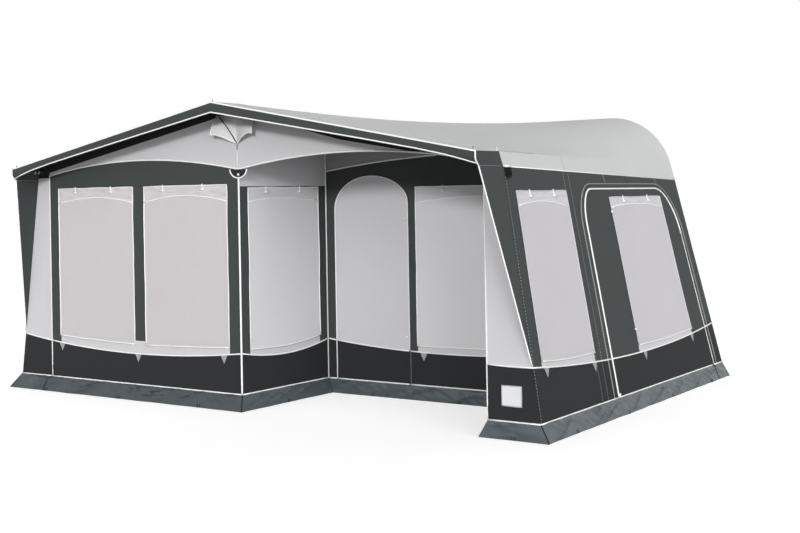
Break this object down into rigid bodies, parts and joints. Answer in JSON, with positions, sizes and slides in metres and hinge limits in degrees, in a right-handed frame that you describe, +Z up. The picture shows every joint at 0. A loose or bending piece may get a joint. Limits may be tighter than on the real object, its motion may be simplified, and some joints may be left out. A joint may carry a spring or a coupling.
{
  "type": "caravan awning",
  "caption": "Framed fabric caravan awning with a gabled canopy front, a set-back porch, zip doors and covered windows, open at the back.",
  "frame": {"origin": "on the ground, in the middle of the awning's bounding box in plan", "axes": "+X to the right seen from the front, +Y from the front towards the caravan, +Z up"},
  "size_m": [5.3, 3.796, 2.3583],
  "materials": {
    "dark_cloth": "matt woven polyester, dark grey",
    "light_cloth": "matt woven polyester, light grey",
    "roof_cloth": "coated polyester, light grey",
    "cover_cloth": "matt woven polyester, pale pinkish grey",
    "mud_wall_film": "coated film, creased, blue grey",
    "mesh": "fine black mesh",
    "trim": "white piping",
    "tube": "galvanised",
    "moulding": "black moulded plastic",
    "charcoal_cloth": "matt woven polyester, near black",
    "window_foil": "clear foil",
    "strap": "black webbing and rubber rings"
  },
  "bodies": {
    "tent": {"roof": "roof_cloth", "canopy_band": "dark_cloth", "gable_panel": "light_cloth", "vent_mesh": "mesh", "front_left_panel": "dark_cloth", "left_stub_panel": "light_cloth", "right_stub_panel": "light_cloth", "return_panel": "light_cloth", "inset_panel": "dark_cloth", "right_side_panel": "dark_cloth", "left_side_panel": "dark_cloth", "left_wing": "dark_cloth", "right_wing": "dark_cloth", "left_mud_wall": "mud_wall_film", "right_mud_wall": "mud_wall_film", "rail_bead": "trim", "front_outer_cover": "cover_cloth", "front_inner_cover": "cover_cloth", "return_cover": "cover_cloth", "inset_cover": "cover_cloth", "right_side_cover": "cover_cloth", "left_side_cover": "cover_cloth", "ridge_pole": "tube", "left_roof_pole": "tube", "right_roof_pole": "tube", "left_front_rail": "tube", "right_front_rail": "tube", "inset_rail": "tube", "canopy_frame": "tube", "left_corner_upper_leg": "tube", "centre_upper_leg": "tube", "right_corner_upper_leg": "tube", "inner_corner_upper_leg": "tube", "porch_upper_leg": "tube", "ridge_wall_plate": "moulding", "left_roof_wall_plate": "moulding", "right_roof_wall_plate": "moulding"},
    "vent_flap": {"vent_hood": "light_cloth"},
    "porch_door": {"inset_door": "light_cloth"},
    "side_door": {"right_side_door": "dark_cloth", "right_door_cover": "cover_cloth"},
    "front_outer_hem": {"front_outer_cover_hem": "trim"},
    "front_inner_hem": {"front_inner_cover_hem": "trim"},
    "return_hem": {"return_cover_hem": "trim"},
    "inset_hem": {"inset_cover_hem": "trim"},
    "right_side_hem": {"right_side_cover_hem": "trim"},
    "right_door_hem": {"right_door_cover_hem": "trim"},
    "left_side_hem": {"left_side_cover_hem": "trim"},
    "left_slider": {"left_zip_slider": "tube"},
    "right_slider": {"right_zip_slider": "tube"},
    "left_corner_leg": {"left_corner_lower_leg": "tube"},
    "centre_leg": {"centre_lower_leg": "tube"},
    "right_corner_leg": {"right_corner_lower_leg": "tube"},
    "inner_corner_leg": {"inner_corner_lower_leg": "tube"},
    "porch_leg": {"porch_lower_leg": "tube"},
    "left_corner_lever": {"left_corner_clamp_lever": "moulding"},
    "centre_lever": {"centre_clamp_lever": "moulding"},
    "right_corner_lever": {"right_corner_clamp_lever": "moulding"},
    "inner_corner_lever": {"inner_corner_clamp_lever": "moulding"},
    "porch_lever": {"porch_clamp_lever": "moulding"}
  },
  "joints": [
    {"name": "vent_hood_hinge", "type": "hinge", "parent": "tent", "child": "vent_flap", "pos_m": [0, -1.6023, 2.255], "axis": [-1, 0, 0], "range_deg": [0, 35]},
    {"name": "porch_door_hinge", "type": "hinge", "parent": "tent", "child": "porch_door", "pos_m": [0.825, -0.542, 0.12], "axis": [0, 0, 1], "range_deg": [0, 90]},
    {"name": "side_door_hinge", "type": "hinge", "parent": "tent", "child": "side_door", "pos_m": [2.46754, 1.678, 0.12], "axis": [-0.2421, 0, 0.9703], "range_deg": [0, 95]},
    {"name": "front_outer_cover_roll", "type": "slide", "parent": "tent", "child": "front_outer_hem", "axis": [0, 0, 1], "range_m": [0, 1.1], "deforming": ["front_outer_cover"]},
    {"name": "front_inner_cover_roll", "type": "slide", "parent": "tent", "child": "front_inner_hem", "axis": [0, 0, 1], "range_m": [0, 1.1], "deforming": ["front_inner_cover"]},
    {"name": "return_cover_roll", "type": "slide", "parent": "tent", "child": "return_hem", "axis": [0, 0, 1], "range_m": [0, 1.1], "deforming": ["return_cover"]},
    {"name": "inset_cover_roll", "type": "slide", "parent": "tent", "child": "inset_hem", "axis": [0, 0, 1], "range_m": [0, 1.1], "deforming": ["inset_cover"]},
    {"name": "right_side_cover_roll", "type": "slide", "parent": "tent", "child": "right_side_hem", "axis": [-0.1515, 0, 0.9885], "range_m": [0, 1], "deforming": ["right_side_cover"]},
    {"name": "right_door_cover_roll", "type": "slide", "parent": "side_door", "child": "right_door_hem", "axis": [-0.1995, 0, 0.9799], "range_m": [0, 1], "deforming": ["right_door_cover"]},
    {"name": "left_side_cover_roll", "type": "slide", "parent": "tent", "child": "left_side_hem", "axis": [0.1854, 0, 0.9827], "range_m": [0, 1], "deforming": ["left_side_cover"]},
    {"name": "left_zip", "type": "slide", "parent": "tent", "child": "left_slider", "axis": [0, 0, 1], "range_m": [0, 1.5]},
    {"name": "right_zip", "type": "slide", "parent": "tent", "child": "right_slider", "axis": [0, 0, 1], "range_m": [0, 1.5]},
    {"name": "left_corner_leg_slide", "type": "slide", "parent": "tent", "child": "left_corner_leg", "axis": [0.1167, 0, 0.9932], "range_m": [-0.25, 0.33]},
    {"name": "centre_leg_slide", "type": "slide", "parent": "tent", "child": "centre_leg", "axis": [0, 0, 1], "range_m": [-0.25, 0.33]},
    {"name": "right_corner_leg_slide", "type": "slide", "parent": "tent", "child": "right_corner_leg", "axis": [-0.1167, 0, 0.9932], "range_m": [-0.25, 0.33]},
    {"name": "inner_corner_leg_slide", "type": "slide", "parent": "tent", "child": "inner_corner_leg", "axis": [0, 0, 1], "range_m": [-0.25, 0.33]},
    {"name": "porch_leg_slide", "type": "slide", "parent": "tent", "child": "porch_leg", "axis": [-0.1449, 0, 0.9895], "range_m": [-0.25, 0.33]},
    {"name": "left_corner_lever_hinge", "type": "hinge", "parent": "tent", "child": "left_corner_lever", "pos_m": [-2.33801, -1.568, 1.055], "axis": [0, -1, 0], "range_deg": [0, 90]},
    {"name": "centre_lever_hinge", "type": "hinge", "parent": "tent", "child": "centre_lever", "pos_m": [-0.062, -1.568, 1.055], "axis": [0, 1, 0], "range_deg": [0, 90]},
    {"name": "right_corner_lever_hinge", "type": "hinge", "parent": "tent", "child": "right_corner_lever", "pos_m": [2.33801, -1.568, 1.055], "axis": [0, 1, 0], "range_deg": [0, 90]},
    {"name": "inner_corner_lever_hinge", "type": "hinge", "parent": "tent", "child": "inner_corner_lever", "pos_m": [-0.034, -0.48, 1.055], "axis": [1, 0, 0], "range_deg": [0, 90]},
    {"name": "porch_lever_hinge", "type": "hinge", "parent": "tent", "child": "porch_lever", "pos_m": [2.24754, -0.508, 1.055], "axis": [0, 1, 0], "range_deg": [0, 90]}
  ]
}
